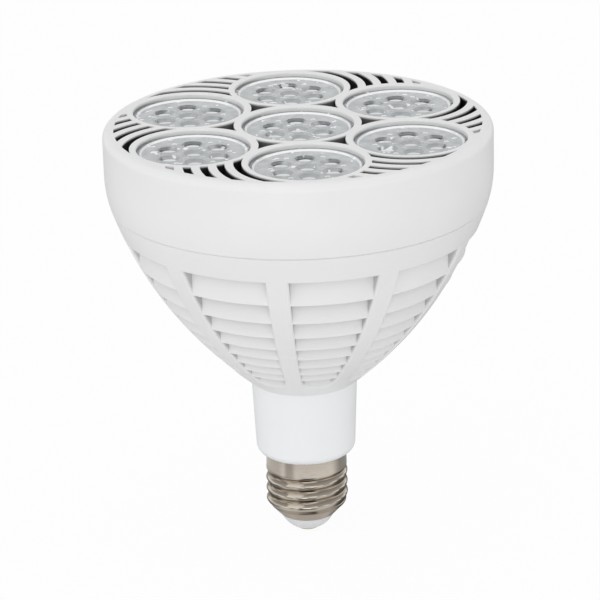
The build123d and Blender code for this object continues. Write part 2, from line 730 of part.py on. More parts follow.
def driver_cover():
    plug_low = DRIVER_TOP + CASE_FIT
    shape = rod(TUBE_R, TUBE_TOP, COVER_TOP) + rod(TUBE_INNER_R - CASE_FIT, plug_low, TUBE_TOP)
    cuts = [rod(TUBE_INNER_R - TUBE_WALL, plug_low, TUBE_TOP)]
    cuts += [rod(COVER_HOLE_R, TUBE_TOP, COVER_TOP, x, y) for x, y in cover_holes()]
    return shape - cuts


def cover_holes():
    """Plan positions of the three lead holes in the cover."""
    pair = fan_lead_places(0)
    fan_hole = (sum(x for x, y in pair) / 2, pair[0][1])
    return [at(COVER_HOLE_RING, corner_bearing(i)) for i in LEAD_CORNERS] + [fan_hole]


# Screw cap
def thread_section(height, inset):
    """Circle of the formed thread at a height: its centre goes once round for every turn of the thread."""
    fade = min(1, (height - THREAD_FOOT) / THREAD_FADE, (COLLAR_Z - height) / THREAD_FADE)
    mean = CREST_R - THREAD_DEPTH / 2
    end = CONE_TOP_R if height < (THREAD_FOOT + COLLAR_Z) / 2 else COLLAR_R
    x, y = at(fade * THREAD_DEPTH / 2, 360 * (height - THREAD_START) / THREAD_PITCH)
    return Pos(x, y, height) * Circle(end + (mean - end) * fade - inset)


def thread_body(inset):
    """Solid inside the thread, moved in by the sheet's thickness."""
    count = math.ceil((COLLAR_Z - THREAD_FOOT) / THREAD_PITCH * THREAD_STEPS)
    heights = [THREAD_FOOT + (COLLAR_Z - THREAD_FOOT) * i / count for i in range(count + 1)]
    return loft([thread_section(h, inset) for h in heights], ruled=True)


def screw_shell():
    shape = thread_body(0) - thread_body(SHELL_T)
    shape += tube(COLLAR_R, COLLAR_R - SHELL_T, COLLAR_Z, NECK_Z)
    cone = turned_polygon((CONE_TOP_R, THREAD_FOOT), (LIP_R, LIP_Z), (LIP_R - SHELL_T, LIP_Z),
                          (CONE_TOP_R - SHELL_T, THREAD_FOOT))
    return shape + cone


def cap_insulator():
    plug_r = LIP_R - SHELL_T - SHELL_FIT
    flange_z = INSULATOR_TOP - INSULATOR_FLANGE
    slope = (CONE_TOP_R - LIP_R) / (THREAD_FOOT - LIP_Z)
    flange_r = plug_r + slope * (flange_z - LIP_Z) - SHELL_FIT
    dome = RadiusArc((CONTACT_R, CONTACT_T), (plug_r, LIP_Z), -DOME_BULGE_R)
    hole = STEM_R + STEM_FIT
    rest = Polyline((plug_r, LIP_Z), (flange_r, flange_z), (flange_r, INSULATOR_TOP), (hole, INSULATOR_TOP),
                    (hole, CONTACT_T), (CONTACT_R, CONTACT_T))
    return turned([dome, rest])


def end_contact():
    button = TangentArc((0, 0), (CONTACT_R, CONTACT_CROWN), tangent=(1, 0))
    rest = Polyline((CONTACT_R, CONTACT_CROWN), (CONTACT_R, CONTACT_T), (STEM_R, CONTACT_T),
                    (STEM_R, INSULATOR_TOP + STEM_RISE), (0, INSULATOR_TOP + STEM_RISE), (0, 0))
    return turned([button, rest])


# Driver board and its parts: the tall ones stand on the front face, the flat ones on the back
def driver_board():
    return block(2 * driver_half(), DRIVER_T, DRIVER_LOW, DRIVER_TOP, 0, DRIVER_Y + DRIVER_T / 2)


def standing(radius, height, rise, x=0):
    """Cylinder that stands on the board's front face."""
    return Pos(x, DRIVER_Y, DRIVER_LOW + rise) * Rot(90, 0, 0) * rod(radius, 0, height)


def capacitor(radius, height, rise):
    """Can with a rolled groove near its foot."""
    groove = standing(radius, SLEEVE_RISE, rise) - standing(radius - SLEEVE_GROOVE, SLEEVE_RISE, rise)
    return standing(radius, height, rise) - Pos(0, -SLEEVE_RISE, 0) * groove


def bulk_capacitor():
    return capacitor(BULK_R, BULK_HEIGHT, BULK_RISE)


def output_capacitor():
    return capacitor(OUTPUT_R, OUTPUT_HEIGHT, OUTPUT_RISE)


def line_choke():
    """Drum core with its winding wound and lacquered into one piece."""
    core = standing(CHOKE_CORE_R, CHOKE_HEIGHT, CHOKE_RISE, CHOKE_X)
    flange = standing(CHOKE_R, CHOKE_FLANGE, CHOKE_RISE, CHOKE_X)
    return core + [flange, Pos(0, CHOKE_FLANGE - CHOKE_HEIGHT, 0) * flange]


def fuse_resistor():
    low = DRIVER_LOW + CHOKE_RISE - FUSE_LENGTH / 2
    return rod(FUSE_R, low, low + FUSE_LENGTH, -CHOKE_X, DRIVER_Y - FUSE_R)


def flat_package(side, thickness, rise):
    """Square package on the board's back face."""
    low = DRIVER_LOW + rise - side / 2
    return block(side, thickness, low, low + side, 0, DRIVER_Y + DRIVER_T + thickness / 2)


def bridge_rectifier():
    return flat_package(BRIDGE_SIDE, BRIDGE_T, BRIDGE_RISE)


def controller_chip():
    return flat_package(CHIP_BODY, CHIP_BODY_T, CHIP_RISE)


def transformer_middle():
    """Depth and height of the transformer's middle."""
    return DRIVER_Y - CORE_T / 2 - WINDING_BUILD, DRIVER_LOW + TRANSFORMER_RISE


def transformer_core():
    """Closed frame with a middle leg."""
    y, z = transformer_middle()
    low = z - CORE_HEIGHT / 2
    high = z + CORE_HEIGHT / 2
    shape = block(CORE_SIDE, CORE_T, low, high, 0, y)
    gap = (CORE_SIDE - CENTRE_LEG) / 2 - CORE_LEG
    middle = (CENTRE_LEG + gap) / 2
    return shape - [block(gap, CORE_T, low + CORE_LEG, high - CORE_LEG, x, y) for x in (-middle, middle)]


def transformer_winding():
    """Wound bobbin round the core's middle leg."""
    y, z = transformer_middle()
    half = CORE_HEIGHT / 2 - CORE_LEG - WINDING_FIT
    width = CORE_SIDE - 2 * CORE_LEG - 2 * WINDING_FIT
    outside = block(width, CORE_T + 2 * WINDING_BUILD, z - half, z + half, 0, y)
    return outside - block(CENTRE_LEG + 2 * WINDING_FIT, CORE_T + 2 * WINDING_FIT, z - half, z + half, 0, y)


# Leads: straight runs joined by arcs
def wire(points):
    """Round wire along a route."""
    route = FilletPolyline(*points, radius=WIRE_BEND)
    start = Plane(origin=route @ 0, z_dir=route % 0)
    return sweep(start * Circle(WIRE_R), path=route)


def live_wire():
    """From the end contact's stem to the foot of the driver board."""
    y = DRIVER_Y - WIRE_R - WIRE_GAP
    low = INSULATOR_TOP + STEM_RISE
    bend = (DRIVER_LOW - low) / 3
    top = DRIVER_LOW + SOLDER_RISE
    return wire([(0, 0, low), (0, 0, low + bend), (0, y, low + 2 * bend), (0, y, top)])


def neutral_wire():
    """From the inside of the shell, at the thread's root, to the foot of the driver board."""
    height = (INSULATOR_TOP + CAP_SPIGOT_FOOT) / 2
    root = 360 * (height - THREAD_START) / THREAD_PITCH + 180
    x, y = at(CREST_R - THREAD_DEPTH - SHELL_T - WIRE_GAP, root)
    turn_x, turn_y = at(CHOKE_X, root)
    end_y = DRIVER_Y - WIRE_R - WIRE_GAP
    bend = (DRIVER_LOW - height) / 2
    top = DRIVER_LOW + SOLDER_RISE
    return wire([(x, y, height), (turn_x, turn_y, height), (turn_x, turn_y, height + bend),
                 (CHOKE_X, end_y, DRIVER_LOW - WIRE_BEND / 2), (CHOKE_X, end_y, top)])


def led_lead(corner):
    """From the driver board's back, round the fan and between two fins, up to the LED board."""
    stations = [
        (COVER_HOLE_RING, DRIVER_TOP - WIRE_BEND), (COVER_HOLE_RING, COVER_TOP + WIRE_BEND),
        (LEAD_RING, FAN_LOW - LEAD_CLEAR), (LEAD_RING, PLATE_LOW - 2 * WIRE_BEND),
        (TRIPLE_RING, PLATE_LOW - WIRE_BEND), (TRIPLE_RING, BOARD_TOP + LEAD_TAIL)]
    return wire([(*at(radius, corner_bearing(corner)), height) for radius, height in stations])


def led_leads():
    return Compound([led_lead(corner) for corner in LEAD_CORNERS])


def fan_lead_places(shift):
    """Plan positions of the fan's two leads, close to the driver board's front."""
    y = DRIVER_Y - WIRE_R - WIRE_GAP
    outer = driver_half() - FAN_LEAD_EDGE + shift
    return [(outer - FAN_LEAD_SPACING, y), (outer, y)]


def fan_leads():
    """From the fan's own board, through its base, down to the driver board."""
    leads = []
    for (x, y), (low_x, low_y) in zip(fan_lead_places(FAN_LEAD_SHIFT), fan_lead_places(0)):
        upper = [(x, y, BASE_TOP), (x, y, FAN_LOW - LEAD_CLEAR)]
        lower = [(low_x, low_y, COVER_TOP + LEAD_CLEAR), (low_x, low_y, DRIVER_TOP - WIRE_BEND)]
        leads.append(wire(upper + lower))
    return Compound(leads)


def save_all():
    """Writes one file for each piece."""
    os.makedirs("parts", exist_ok=True)
    pieces = {
        "front_bezel": front_bezel(),
        "led_board": led_board(),
        "led_chips": led_chips(),
        "thermal_pad": thermal_pad(),
        "heat_sink": heat_sink(),
        "board_screws": board_screws(),
        "sink_screws": sink_screws(),
        "fan_frame": fan_frame(),
        "fan_bearing": fan_bearing(),
        "fan_board": fan_board(),
        "fan_stator": fan_stator(),
        "fan_coils": fan_coils(),
        "fan_impeller": fan_impeller(),
        "fan_shaft": fan_shaft(),
        "fan_magnet": fan_magnet(),
        "fan_screws": fan_screws(),
        "housing": housing(),
        "driver_case": driver_case(),
        "driver_cover": driver_cover(),
        "screw_shell": screw_shell(),
        "cap_insulator": cap_insulator(),
        "end_contact": end_contact(),
        "driver_board": driver_board(),
        "bulk_capacitor": bulk_capacitor(),
        "output_capacitor": output_capacitor(),
        "line_choke": line_choke(),
        "fuse_resistor": fuse_resistor(),
        "bridge_rectifier": bridge_rectifier(),
        "controller_chip": controller_chip(),
        "transformer_core": transformer_core(),
        "transformer_winding": transformer_winding(),
        "live_wire": live_wire(),
        "neutral_wire": neutral_wire(),
        "led_leads": led_leads(),
        "fan_leads": fan_leads(),
    }
    for index in range(7):
        pieces[f"lens_{index + 1}"] = lens_optic(index)
    for name, shape in pieces.items():
        export_step(shape, f"parts/{name}.step")
        print(name, round(shape.volume, 1))


save_all()
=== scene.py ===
# %% [markdown]
# # A reflector spotlight lamp, dressed in Blender
# The lamp's solids come from a CAD model: bezel, bowl, neck and cap outside, and the heat sink, fan and
# driver inside. They keep their shape and place here, and each gets a finish with some life in it. Only
# the seven clear optics are modelled again, because rounded wells, small pits and hollow cups catch the
# light in a way that plain solids can't.

# %% Load the solids
import json
import math

import bpy
from mathutils import Matrix, Vector


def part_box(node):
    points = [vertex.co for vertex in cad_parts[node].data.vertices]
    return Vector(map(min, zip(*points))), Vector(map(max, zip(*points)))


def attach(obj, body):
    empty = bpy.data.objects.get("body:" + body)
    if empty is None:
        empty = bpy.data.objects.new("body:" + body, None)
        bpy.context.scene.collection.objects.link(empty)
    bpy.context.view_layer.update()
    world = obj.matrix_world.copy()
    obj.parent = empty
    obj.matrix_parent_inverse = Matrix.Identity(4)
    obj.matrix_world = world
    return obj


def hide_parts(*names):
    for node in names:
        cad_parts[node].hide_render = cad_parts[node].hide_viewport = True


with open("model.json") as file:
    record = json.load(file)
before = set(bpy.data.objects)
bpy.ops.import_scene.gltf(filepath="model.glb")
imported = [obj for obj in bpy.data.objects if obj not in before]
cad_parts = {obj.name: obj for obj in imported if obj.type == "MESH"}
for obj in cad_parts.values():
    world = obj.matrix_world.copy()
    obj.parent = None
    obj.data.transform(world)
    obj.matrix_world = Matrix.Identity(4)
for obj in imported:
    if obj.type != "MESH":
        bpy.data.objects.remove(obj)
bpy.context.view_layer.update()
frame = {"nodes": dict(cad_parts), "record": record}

MM = 0.001
nodes = frame["nodes"]

# %% [markdown]
# ## The camera
# The photograph looks down at the lamp by about twenty-one degrees with a long lens, so the lamp hardly
# narrows with distance. A camera could be dragged into place by eye. Here it is worked out from a point on
# the lamp's axis, a distance and two angles, so that each can be changed by itself. A small shift puts
# that point a little below the middle of the picture.

# %% Place the camera
AIM = Vector((0.0, 0.0, 71.1 * MM))
DISTANCE = 1.02415
LOOK_DOWN = math.radians(20.86)
ROLL = math.radians(-1.5)
SENSOR_WIDTH = 36.0
FOCAL_LENGTH = 194.28
SIDE_SHIFT = -0.0048
UP_SHIFT = 0.036
back = Vector((0.0, -math.cos(LOOK_DOWN), math.sin(LOOK_DOWN)))
level = Vector((1.0, 0.0, 0.0))
upright = back.cross(level)
right = math.cos(ROLL) * level + math.sin(ROLL) * upright
up = math.cos(ROLL) * upright - math.sin(ROLL) * level
view = bpy.data.cameras.new("photo_camera")
view.sensor_width = SENSOR_WIDTH
view.lens = FOCAL_LENGTH
view.shift_x = SIDE_SHIFT
view.shift_y = UP_SHIFT
camera = bpy.data.objects.new("photo_camera", view)
bpy.context.scene.collection.objects.link(camera)
turned = Matrix((right, up, back)).transposed().to_4x4()
camera.matrix_world = Matrix.Translation(AIM + back * DISTANCE) @ turned
bpy.context.scene.camera = camera
bpy.context.scene.view_settings.view_transform = "Standard"
print("camera at", [round(v, 3) for v in camera.location])

# %% [markdown]
# ## Shader maths as Python
# A finish is a web of nodes. It could be wired node by node, but an expression is easier to read and to
# change. A small class wraps one output socket: adding or multiplying two of them adds a Math node, and one
# method makes any other node.

# %% A socket that can be added and multiplied
class Socket:
    """One output of a shader node."""

    def __init__(self, tree, output):
        self.tree = tree
        self.output = output

    def node(self, kind, settings=None, inputs=None, out=0):
        """Adds a node, sets it up, fills or links its inputs and wraps one of its outputs."""
        made = self.tree.nodes.new(kind)
        for name, setting in (settings or {}).items():
            setattr(made, name, setting)
        for key, given in (inputs or {}).items():
            if isinstance(given, Socket):
                self.tree.links.new(given.output, made.inputs[key])
            else:
                made.inputs[key].default_value = given
        return Socket(self.tree, made.outputs[out])

    def math(self, operation, other=0.0):
        return self.node("ShaderNodeMath", {"operation": operation}, {0: self, 1: other})

    def __add__(self, other):
        return self.math("ADD", other)

    __radd__ = __add__

    def __mul__(self, other):
        return self.math("MULTIPLY", other)

    __rmul__ = __mul__

    def __sub__(self, other):
        return self.math("SUBTRACT", other)

    def __rsub__(self, other):
        return self.node("ShaderNodeMath", {"operation": "SUBTRACT"}, {0: other, 1: self})

    def __truediv__(self, other):
        return self.math("DIVIDE", other)

    def __rtruediv__(self, other):
        return self.node("ShaderNodeMath", {"operation": "DIVIDE"}, {0: other, 1: self})

    def axis(self, number):
        """One coordinate of a vector: 0 is x, 1 is y and 2 is z."""
        return self.node("ShaderNodeSeparateXYZ", None, {0: self}, out=number)

    def smooth(self, low, high):
        """Nought below low, one above high, and an easy slope between."""
        settings = {"interpolation_type": "SMOOTHSTEP"}
        return self.node("ShaderNodeMapRange", settings, {"Value": self, "From Min": low, "From Max": high})

    def tint(self, first, second):
        """First colour where this is nought, second where it is one."""
        colors = [c if isinstance(c, Socket) else (*c, 1.0) for c in (first, second)]
        settings = {"data_type": "RGBA", "blend_type": "MIX"}
        return self.node("ShaderNodeMix", settings, {"Factor": self, 6: colors[0], 7: colors[1]}, out=2)


print("sockets take plus, minus, times and divide")

# %% A finish and its shader
class Finish:
    """One material with a Principled shader, and the coordinates that its patterns read."""

    def __init__(self, name):
        self.material = bpy.data.materials.new(name)
        self.material.use_nodes = True
        self.tree = self.material.node_tree
        self.shader = self.tree.nodes["Principled BSDF"]
        self.surface = Socket(self.tree, self.shader.outputs[0])
        self.point = self.surface.node("ShaderNodeTexCoord", out="Object")
        self.x, self.y, self.z = [self.point.axis(number) for number in range(3)]

    def set(self, **values):
        """Sets or links sockets of the shader, named in small letters with underscores."""
        for name, given in values.items():
            socket = self.shader.inputs[name.replace("_", " ").title().replace("Ior", "IOR")]
            if isinstance(given, Socket):
                self.tree.links.new(given.output, socket)
            else:
                socket.default_value = given

    def noise(self, size, detail=2.0, stretch=(1.0, 1.0, 1.0)):
        """Cloudy pattern from nought to one, with spots of about this size in metres."""
        settings = {"operation": "MULTIPLY"}
        scaled = self.point.node("ShaderNodeVectorMath", settings, {0: self.point, 1: stretch})
        inputs = {"Vector": scaled, "Scale": 1.0 / size, "Detail": detail}
        return self.point.node("ShaderNodeTexNoise", None, inputs)

    def grain(self, height, depth):
        """Turns a height pattern into small bumps of a depth in metres."""
        inputs = {"Strength": 1.0, "Distance": depth, "Height": height}
        self.set(normal=self.point.node("ShaderNodeBump", None, inputs))

    def radius(self):
        """Distance from the lamp's axis, in metres."""
        return (self.x * self.x + self.y * self.y).math("POWER", 0.5)

    def facing(self, axis):
        """One coordinate of the direction that the surface faces."""
        return self.point.node("ShaderNodeNewGeometry", out="Normal").axis(axis)

    def cover(self, factor, top):
        """Shows another shader over this one where the factor is one."""
        mix = self.surface.node("ShaderNodeMixShader", None, {0: factor, 1: self.surface, 2: top})
        self.tree.links.new(mix.output, self.tree.nodes["Material Output"].inputs["Surface"])


print("a finish reads x, y and z on the lamp, and the way a surface faces")

# %% [markdown]
# ## Light and background
# The photograph is a studio picture on pure white, with soft light from all round and hardly any shadow.
# One strong lamp would throw hard shadows, so here the world gives even light. Two large lamps add
# direction: the key stands at the left in front, and the fill straight ahead. The world is white to the
# camera, and darker overhead in reflections, so that metal keeps its contrast.

# %% World
EVEN_LIGHT = 0.87
GLOSS_FALL = 0.58
GLOSS_CLIMB = (0.10, 0.35)


def ray_kinds(start):
    """Sockets that are one for rays to the camera, in gloss and through clear plastic."""
    kinds = ("Camera", "Glossy", "Transmission")
    return [start.node("ShaderNodeLightPath", out=f"Is {kind} Ray") for kind in kinds]


world = bpy.data.worlds.new("studio")
bpy.context.scene.world = world
world.use_nodes = True
background = world.node_tree.nodes["Background"]
background.inputs["Color"].default_value = (1.0, 1.0, 1.0, 1.0)
sky = Socket(world.node_tree, background.outputs[0])
to_camera, in_gloss, through = ray_kinds(sky)
plain = EVEN_LIGHT + to_camera.math("MAXIMUM", through) * (1.0 - EVEN_LIGHT)
climb = sky.node("ShaderNodeTexCoord").axis(2)
gloss_sky = 1.0 - GLOSS_FALL * climb.smooth(*GLOSS_CLIMB)
strength = plain + in_gloss * (gloss_sky - plain)
sky.tree.links.new(strength.output, background.inputs["Strength"])
print("world gives even light of", EVEN_LIGHT)

# %% Key and fill
KEY_PLACE = (-0.75, -0.75, 0.85)
KEY_POWER = 1.5
FILL_PLACE = (0.1, -1.2, 0.3)
FILL_POWER = 1.6
LAMP_SIZE = 0.9


def soft_lamp(name, place, power):
    """Large square lamp that faces the middle of the bulb."""
    light = bpy.data.lights.new(name, "AREA")
    light.size = LAMP_SIZE
    light.energy = power
    lamp = bpy.data.objects.new(name, light)
    bpy.context.scene.collection.objects.link(lamp)
    lamp.location = place
    lamp.rotation_euler = (Vector(place) - AIM).to_track_quat("Z", "Y").to_euler()
    return lamp


key = soft_lamp("key_light", KEY_PLACE, KEY_POWER)
fill = soft_lamp("fill_light", FILL_PLACE, FILL_POWER)
print("lamps", key.name, "and", fill.name, "are", LAMP_SIZE, "m wide")

# %% [markdown]
# ## Floor
# The lamp stands on white paper. To the camera the paper is plain white, with a faint shadow. The plated
# cap mirrors it too, and a mirror in an all-white room looks like white paint. Photographers stand dark
# cards round metal for that reason. Cards could be modelled, but here they are painted reflections: tones
# of the paper that only gloss sees, so they throw no shadow and show in no picture of the floor.

# %% White paper
FLOOR_WIDTH = 8.0
PAPER_WHITE = (0.9, 0.9, 0.9, 1.0)
PAPER_ROUGHNESS = 0.9


def deselect():
    """Object mode with nothing selected, so that an operator acts only on what comes next."""
    if bpy.context.mode != "OBJECT":
        bpy.ops.object.mode_set(mode="OBJECT")
    bpy.ops.object.select_all(action="DESELECT")


deselect()
bpy.ops.mesh.primitive_plane_add(size=FLOOR_WIDTH, location=(0.0, 0.0, 0.0))
floor = bpy.context.object
floor.name = "floor"
paper = Finish("white_paper")
paper.set(base_color=PAPER_WHITE, roughness=PAPER_ROUGHNESS)
floor.data.materials.append(paper.material)
print("floor", floor.dimensions.x, "m wide")

# %% Cards for the cap to mirror
# Soft edges by distance from the axis
NEAR_START = (12 * MM, 22 * MM)
NEAR_END = (50 * MM, 60 * MM)
FAR_START = (66 * MM, 88 * MM)
# Soft edge between left and right
MIDDLE = (-5 * MM, 5 * MM)
# Soft edges by direction: one is straight ahead, nought is to the side, and less is behind
FRONT_CARD = (0.88, 0.97)
SIDE_CARDS = (0.0, 0.40)
STRIP_START = (0.40, 0.60)
STRIP_END = (0.74, 0.90)
LEFT_BACK = (0.1, 0.5)
RIGHT_BACK = (-0.25, 0.45)
# Brightness of the bare paper, and how much each card takes from it or adds
PAPER_TONE = 0.74
BEYOND_LIFT = 0.20
FAR_FALL = 0.40
NEAR_FALL = 0.10
FRONT_FALL = 0.85
SIDE_FALL = 0.70
STRIP_FALL = 0.45
LEFT_FALL = 0.28
RIGHT_FALL = 0.65


def card_tone(paper):
    """Brightness of the paper as gloss sees it."""
    reach = paper.radius()
    ahead = paper.y * (-1.0 / reach)
    on_right = paper.x.smooth(*MIDDLE)
    beyond = reach.smooth(*NEAR_END)
    near = reach.smooth(*NEAR_START) * (1.0 - beyond)
    front = ahead.smooth(*FRONT_CARD)
    sides = 1.0 - ahead.smooth(*SIDE_CARDS)
    near_cards = near * (NEAR_FALL + FRONT_FALL * front + SIDE_FALL * sides)
    strip = beyond * (1.0 - on_right) * ahead.smooth(*STRIP_START) * (1.0 - ahead.smooth(*STRIP_END))
    dim_left = (1.0 - on_right) * (1.0 - ahead.smooth(*LEFT_BACK))
    dim_right = on_right * (1.0 - ahead.smooth(*RIGHT_BACK))
    tone = PAPER_TONE + BEYOND_LIFT * beyond - FAR_FALL * reach.smooth(*FAR_START)
    tone = tone * (1.0 - LEFT_FALL * dim_left - RIGHT_FALL * dim_right)
    return tone * (1.0 - STRIP_FALL * strip) * (1.0 - near_cards)


FLOOR_GLOW = 0.94
to_camera, in_gloss, through = ray_kinds(paper.surface)
shown = to_camera.math("MAXIMUM", in_gloss).math("MAXIMUM", through)
glow_color = 1.0 - in_gloss * (1.0 - card_tone(paper))
glow = paper.surface.node("ShaderNodeEmission", None, {"Color": glow_color})
paper.cover(shown * FLOOR_GLOW, glow)
print("paper glows by", FLOOR_GLOW, "where it is seen")

# %% [markdown]
# ## White mouldings
# Bezel and bowl are moulded in one white plastic with a satin surface. Close up it has a very fine grain
# and faint clouds of gloss. Modelled bumps would cost millions of faces, so both are noise, in the bump and
# in the roughness. White walls throw light at each other, which leaves vents and louvres paler than in the
# photograph. So shade is painted into the plastic's colour there, darker with depth, by rules that follow
# the moulding's own form.

# %% Places on the face and the bowl
# The bowl's outline is an arc, given by its size and by its middle, beyond the axis and above the seam
ARC_SIZE = 131.8 * MM
ARC_R = -65.8 * MM
ARC_RISE = 42.2 * MM
TURN = math.radians(33.6)
SIXTH = math.radians(60)
low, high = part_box("front_bezel")
FACE_Z = high.z
SEAM_Z = low.z
ARC_Z = SEAM_Z + ARC_RISE
low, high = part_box("lens_1")
RING = math.hypot(low.x + high.x, low.y + high.y) / 2
print("face at", round(FACE_Z / MM, 1), "mm, seam at", round(SEAM_Z / MM, 1), "mm")

# %% Distances from the optics
def lens_distances(finish):
    """Distances from the lamp's axis, from the ring's optic before a point, and from the nearest optic."""
    across = finish.radius()
    bearing = finish.y.math("ARCTAN2", finish.x)
    turn = (TURN - bearing).math("FLOORED_MODULO", SIXTH)
    squares = across * across + RING * RING
    before = (squares - 2.0 * RING * across * turn.math("COSINE")).math("POWER", 0.5)
    after = (squares - 2.0 * RING * across * (SIXTH - turn).math("COSINE")).math("POWER", 0.5)
    return across, before, across.math("MINIMUM", before).math("MINIMUM", after)


print("optics stand on a ring of", round(RING / MM, 2), "mm")

# %% Shade in the vents of the face
FACE_DEPTH = (6.0 * MM, 6.5 * MM)
FACE_EDGE = (57.2 * MM, 57.6 * MM)
VENT_EDGE = (18.7 * MM, 18.9 * MM)
BLIND_EDGE = (38.2 * MM, 38.6 * MM)
INNER_EDGE = (26.0 * MM, 28.0 * MM)
VENT_DEPTH = (0.0, 0.8 * MM)
HOLE_DEPTH = (0.4 * MM, 1.5 * MM)
TURNED_FROM_KEY = (0.35, 0.9)
BLIND_LIFT = 0.55
INNER_LIFT = 0.15
HOLE_SHADE = 0.14
UNLIT_SHADE = 0.66


def vent_shade(white):
    """Painted shade: one down inside the vents, less in the blind slots and lens holes, more on hole walls
    turned from the key lamp, and nought elsewhere.
    """
    across, before, nearest = lens_distances(white)
    depth = FACE_Z - white.z
    in_face = (1.0 - depth.smooth(*FACE_DEPTH)) * (1.0 - across.smooth(*FACE_EDGE))
    in_vent = nearest.smooth(*VENT_EDGE)
    blind = before.smooth(*BLIND_EDGE)
    inner = 1.0 - across.smooth(*INNER_EDGE)
    vent = (1.0 - BLIND_LIFT * blind - INNER_LIFT * inner) * depth.smooth(*VENT_DEPTH)
    # Painted shade on lens-hole walls that face away from the key lamp
    unlit = white.facing(0).smooth(*TURNED_FROM_KEY)
    hole = (HOLE_SHADE + UNLIT_SHADE * unlit) * (1.0 - in_vent) * depth.smooth(*HOLE_DEPTH)
    return in_face * (in_vent * vent + hole)


print("vents are dark from", VENT_DEPTH[1] / MM, "mm down")

# %% Shade in the louvres of the bowl
SEAM_FADE = 1.0 * MM
SEAM_WIDTH = (0.1 * MM, 0.4 * MM)
VANE_DEPTH = (1.8 * MM, 4.5 * MM)
RIB_DEPTH = (0.3 * MM, 1.5 * MM)
SIDEWAYS = (0.6, 0.85)
VANE_SHADE = 0.10
RIB_SHADE = 0.40
SEAM_SHADE = 0.10


def louvre_shade(white):
    """Painted shade: rises with depth below the bowl's outline, most on the sides of the ribs, with a thin
    painted shadow along the seam.
    """
    out = white.radius() - ARC_R
    rise = white.z - ARC_Z
    inset = ARC_SIZE - (out * out + rise * rise).math("POWER", 0.5)
    sideways = ((white.facing(1) * white.x - white.facing(0) * white.y) / white.radius()).math("ABSOLUTE")
    rib_side = sideways.smooth(*SIDEWAYS) * inset.smooth(*RIB_DEPTH)
    below_seam = 1.0 - white.z.smooth(SEAM_Z - SEAM_FADE, SEAM_Z)
    # Thin painted shadow just along the seam between bezel and bowl
    seam = 1.0 - (SEAM_Z - white.z).math("ABSOLUTE").smooth(*SEAM_WIDTH)
    louvre = VANE_SHADE * inset.smooth(*VANE_DEPTH) + RIB_SHADE * rib_side
    return louvre * below_seam + SEAM_SHADE * seam


print("louvres darken down to", VANE_DEPTH[1] / MM, "mm below the outline")

# %% White plastic for shell, neck and cap
CLOUD_SIZE = 30 * MM
CLOUD_EDGE = (0.3, 0.7)
GRAIN_SIZE = 0.35 * MM
GRAIN_DETAIL = 3.0
GRAIN_DEPTH = 0.006 * MM
SATIN = 0.4
CLOUD_ROUGHNESS = 0.10
GRAIN_ROUGHNESS = 0.05
VENT_SHADE_BLACK = (0.02, 0.02, 0.021)


def white_moulding(name, color, shade, gloss, vents=False):
    """Satin plastic of two close whites, with painted shade in the vents and louvres where it has them."""
    white = Finish(name)
    clouds = white.noise(CLOUD_SIZE)
    fine = white.noise(GRAIN_SIZE, GRAIN_DETAIL)
    tone = clouds.smooth(*CLOUD_EDGE).tint(shade, color)
    if vents:
        # Painted shade of the vents and louvres darkens the white towards near black
        tone = (vent_shade(white) + louvre_shade(white)).tint(tone, VENT_SHADE_BLACK)
    white.set(base_color=tone)
    white.set(roughness=gloss + CLOUD_ROUGHNESS * clouds + GRAIN_ROUGHNESS * fine)
    white.set(specular_ior_level=SATIN)
    white.grain(fine, GRAIN_DEPTH)
    return white.material


finishes = {
    "white_shell": white_moulding("shell_white", (0.85, 0.85, 0.85), (0.83, 0.832, 0.834), 0.34, vents=True),
    "white_neck": white_moulding("neck_white", (0.90, 0.915, 0.92), (0.885, 0.90, 0.91), 0.30),
    "cap_white": white_moulding("cap_white", (0.84, 0.845, 0.86), (0.82, 0.825, 0.84), 0.25),
}
print("white finishes", sorted(finishes))

# %% [markdown]
# ## Plated cap
# The cap is thin sheet with a bright nickel plate, and the contact at its tip is brass. The plain collar is
# a little brushed round the axis, and the rolled thread is duller down in its grooves, where polish doesn't
# reach. Its colour is also darker and warmer there, as painted shade of the grooves. That could be painted
# by hand, but the distance from the axis tells crest from groove all the way round, so one slope between two
# radii does it.

# %% Nickel and brass
SCRATCH_SIZE = 4 * MM
BRUSHED = (1.0, 1.0, 40.0)
SPECK_SIZE = 0.8 * MM
METAL_DETAIL = 3.0
SCRATCH_DEPTH = 0.01 * MM
POLISHED = 0.05
SCRATCH_ROUGHNESS = 0.08
DULL_ROUGHNESS = 0.05
SPECK_ROUGHNESS = 0.04


def plated(name, bright, dull, bright_r, dull_r):
    """Metal that goes from bright at one radius to darker and duller at another, with scratches round the
    axis.
    """
    plate = Finish(name)
    dull_and_shaded = plate.radius().smooth(bright_r, dull_r)
    scratches = plate.noise(SCRATCH_SIZE, METAL_DETAIL, BRUSHED)
    specks = plate.noise(SPECK_SIZE, METAL_DETAIL)
    plate.set(metallic=1.0, base_color=dull_and_shaded.tint(bright, dull))
    wear = SCRATCH_ROUGHNESS * scratches + DULL_ROUGHNESS * dull_and_shaded + SPECK_ROUGHNESS * specks
    plate.set(roughness=POLISHED + wear)
    plate.grain(scratches, SCRATCH_DEPTH)
    return plate.material


CREST_R = 12.95 * MM
GROOVE_R = 12.35 * MM
CONTACT_R = 4.4 * MM
# On the thread the darker, warmer colour in the grooves is painted shade, and the rougher surface there is
# real dullness
finishes["nickel"] = plated("nickel_plate", (0.63, 0.572, 0.493), (0.44, 0.375, 0.30), CREST_R, GROOVE_R)
finishes["contact_brass"] = plated("contact_metal", (0.72, 0.63, 0.44), (0.60, 0.50, 0.33), 0.0, CONTACT_R)
print("plated finishes", finishes["nickel"].name, finishes["contact_brass"].name)

